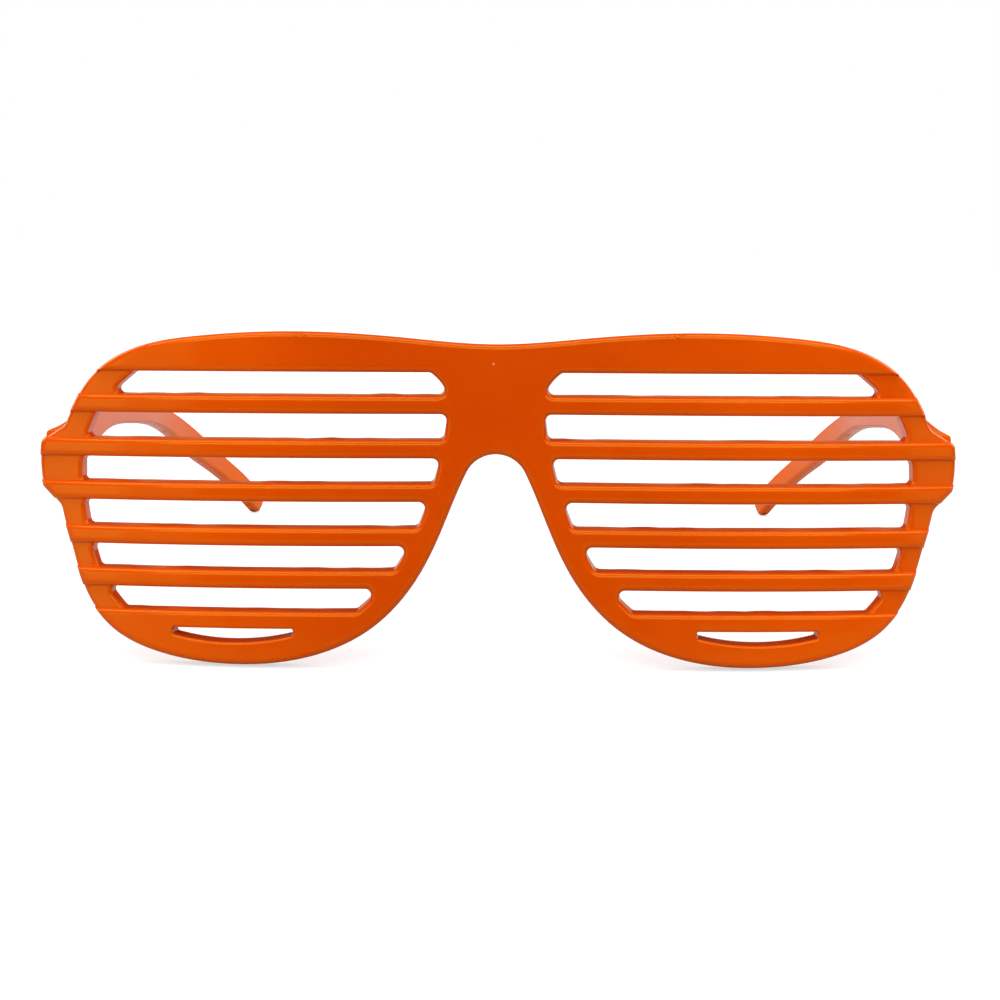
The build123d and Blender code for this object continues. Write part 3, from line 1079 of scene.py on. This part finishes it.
def plastic(name, deep, light, haze, is_front=False):
    """A glossy coloured plastic that shifts between a deep and a light colour."""
    finish = Finish(name)
    flow = finish.noise(0.028, 2.0, (1, 1, 1.6))
    cloud = finish.noise(0.006, 3.0)
    across = finish.part(finish.place, "X")
    # Painted light: deeper in the bridge and lighter towards the ends of the front, where more
    # light falls.
    ends = finish.ramp(across * across, painted_shade_until**2, painted_light_from**2)
    streaks = finish.ramp(0.7 * flow + 0.3 * cloud, 0.3, 0.7)
    speck = specks(finish)
    colour = finish.blend(flow_share * streaks + (1 - flow_share) * ends, deep, light)
    colour = finish.blend(speck * 0.35, colour, speck_colour)

    scratch = finish.noise(0.0007, 3.0, (0.08, 1, 1), 0.6)
    rough = haze + 0.05 * finish.ramp(cloud, 0.35, 0.7)
    rough = rough + 0.06 * finish.ramp(scratch, 0.62, 0.72) + 0.25 * speck

    wave = finish.noise(0.0045, 1.0, (0.6, 1, 1))
    grain = finish.noise(0.0004, 2.0)
    normal = finish.bump(wave, wave_depth)
    normal = finish.bump(0.6 * grain + speck, grain_depth, normal)
    if is_front:
        torn = finish.noise(0.0009, 2.0)
        normal = finish.bump(torn * gate_marks(finish), gate_depth, normal)

    finish.give(Base_Color=colour, Roughness=rough, Normal=normal)
    return finish.give(IOR=polystyrene_ior, Specular_Tint=shine_colour)


orange = plastic("front_plastic_finish", paint(209, 68, 0), paint(229, 82, 0), 0.11, is_front=True)
temple_orange = plastic("temple_plastic_finish", paint(230, 84, 0), paint(240, 96, 2), 0.2)
dress(front, orange)
dress(left_temple, temple_orange)
dress(right_temple, temple_orange)
print("plastic finishes:", orange.name, temple_orange.name)

# %% [markdown]
# ## Hinge metal
#
# The leaves are stamped from nickel-plated brass strip and the barrels are rolled, so their grain
# runs one way and their gloss is a little dull. The screws are turned steel: brighter, with fine
# rings around the axis. These pieces keep their measured solids and only take a finish.

# %% Make the metal finishes and give them to the hinges
along_the_strip = (1, 1, 0.1)
round_the_axis = (0.2, 0.2, 1.5)
metal_grain_depth = 0.000006


def metal(name, colour, dark, stretch, gloss):
    """A plated metal with a grain that runs one way."""
    finish = Finish(name)
    grain = finish.noise(0.0009, 4.0, stretch, 0.6)
    stain = finish.noise(0.0025, 2.0)
    tint = finish.blend(finish.ramp(stain, 0.35, 0.75) * 0.5, colour, dark)
    rough = gloss + 0.18 * grain
    normal = finish.bump(grain, metal_grain_depth)
    return finish.give(Base_Color=tint, Metallic=1.0, Roughness=rough, Normal=normal)


silver, tarnish = paint(205, 201, 192), paint(160, 152, 140)
nickel = metal("nickel_plate_finish", silver, tarnish, along_the_strip, 0.2)
bright, oiled = paint(190, 190, 192), paint(130, 128, 126)
steel = metal("screw_steel_finish", bright, oiled, round_the_axis, 0.14)
for name, node in frame["nodes"].items():
    if "hinge" in name:
        dress(node, steel if "screw" in name else nickel)
print("metal finishes:", nickel.name, steel.name)

# %% [markdown]
# ## The camera
#
# The photograph was taken from ahead and a little above, from about 40 centimetres, with a long
# lens. The camera stood about a degree to one side and was held a hair askew, and at this scale
# both show. It is placed in the level drawing, in millimetres and degrees, and stood up with the
# glasses, so it keeps its view of them if their stance changes.

# %% Place the camera
camera_distance = 400.0
camera_height = 51.5
camera_side = 1.22
camera_roll = 0.166
look_aside = 0.79
look_height = 27.36
lens_length = 88.66


def placed_camera():
    """The camera that looks at the glasses from ahead."""
    data = bpy.data.cameras.new("camera")
    data.lens = lens_length
    viewer = bpy.data.objects.new("camera", data)
    bpy.context.scene.collection.objects.link(viewer)
    across, back = camera_distance * heading(camera_side)[::-1]
    eye = stand @ Vector((across, -back, camera_height))
    target = stand @ Vector((look_aside, 0, look_height))
    roll = Matrix.Rotation(math.radians(camera_roll), 3, "Z")
    viewer.location = eye
    viewer.rotation_euler = ((target - eye).to_track_quat("-Z", "Y").to_matrix() @ roll).to_euler()
    bpy.context.scene.camera = viewer
    return viewer


camera = placed_camera()
print("camera at", [round(part, 4) for part in camera.location])

# %% [markdown]
# ## Floor, light and background
#
# Small glossy goods are lit by large soft lamps: one overhead, one high and ahead, weak ones at
# the sides, which brighten the ends of the front, and two at the back for the temples. The room
# around is dark in reflections, which keeps the face of the front deep in colour, but for a low
# warm board behind the glasses that the floors of the slots mirror. The floor is white for the
# camera but still takes the shadow, and it fades out before its edge.

# %% Set the studio
lamp_target = Vector((0, 0, 0.03))
room_light = 0.45
mirrored_room_light = 0.05
mirrored_board_light = 0.6
board_colour = paint(255, 188, 144)
floor_size = 1.8
floor_grey = 0.45
floor_glow = 0.62
floor_fade = (0.3, 0.8)


def soft_light(name, place, width, height, power):
    """A large soft lamp that faces the glasses."""
    data = bpy.data.lights.new(name, "AREA")
    data.shape = "RECTANGLE"
    data.size = width
    data.size_y = height
    data.energy = power
    lamp = bpy.data.objects.new(name, data)
    lamp.location = place
    lamp.rotation_euler = (lamp_target - Vector(place)).to_track_quat("-Z", "Y").to_euler()
    bpy.context.scene.collection.objects.link(lamp)
    return lamp


soft_light("top_light", (0, -0.2, 1.1), 1.6, 0.6, 8.5)
soft_light("front_light", (0, -1.1, 0.85), 1.5, 0.5, 7)
soft_light("photo_left_light", (-0.78, -0.93, 0.12), 0.7, 0.7, 0.85)
soft_light("photo_left_far_light", (-0.92, -0.85, 0.12), 0.5, 0.7, 0.8)
soft_light("photo_right_light", (0.95, -0.75, 0.12), 0.5, 0.5, 0.6)
soft_light("back_left_light", (-0.7, 0.45, 0.45), 0.65, 0.65, 3.4)
soft_light("back_right_light", (0.7, 0.45, 0.45), 0.65, 0.65, 3.4)


def studio_world():
    """White for the camera. Reflections see a low warm board at the back and a dark room."""
    world = bpy.data.worlds.new("studio")
    bpy.context.scene.world = world
    world.use_nodes = True
    studio = Graph(world.node_tree)
    where = studio.add("ShaderNodeTexCoord", output="Generated")
    depth, height = studio.part(where, "Y"), studio.part(where, "Z")
    camera_ray, glossy_ray, clear_ray = studio.rays("Camera", "Glossy", "Transmission")
    board = studio.ramp(depth, 0.92, 0.96) * (1 - studio.ramp(height, 0.06, 0.12))
    seen = camera_ray + clear_ray
    change = mirrored_board_light * board + (mirrored_room_light - room_light)
    strength = seen + (1 - seen) * (room_light + glossy_ray * change)
    back = world.node_tree.nodes["Background"]
    studio.join(strength, back.inputs["Strength"])
    studio.join(studio.blend(glossy_ray, (1, 1, 1, 1), board_colour), back.inputs["Color"])


def studio_floor():
    """A pale floor that is white for the camera where no shadow falls."""
    bpy.ops.mesh.primitive_plane_add(size=floor_size, location=(0, 0, 0))
    floor = bpy.context.object
    floor.name = "floor"
    finish = Finish("floor_finish")
    grey = (floor_grey, floor_grey, floor_grey, 1)
    finish.give(Base_Color=grey, Roughness=0.9, Specular_IOR_Level=0.0)
    camera_ray, clear_ray = finish.rays("Camera", "Transmission")
    glow = floor_glow * (camera_ray + clear_ray)
    finish.give(Emission_Color=(1, 1, 1, 1), Emission_Strength=glow)
    length = {"operation": "LENGTH"}
    away = finish.add("ShaderNodeVectorMath", length, {0: finish.place}, output="Value")
    finish.give(Alpha=1 - finish.ramp(away, *floor_fade))
    dress(floor, finish.material)
    return floor


studio_world()
studio_floor()
bpy.context.scene.view_settings.view_transform = "Standard"
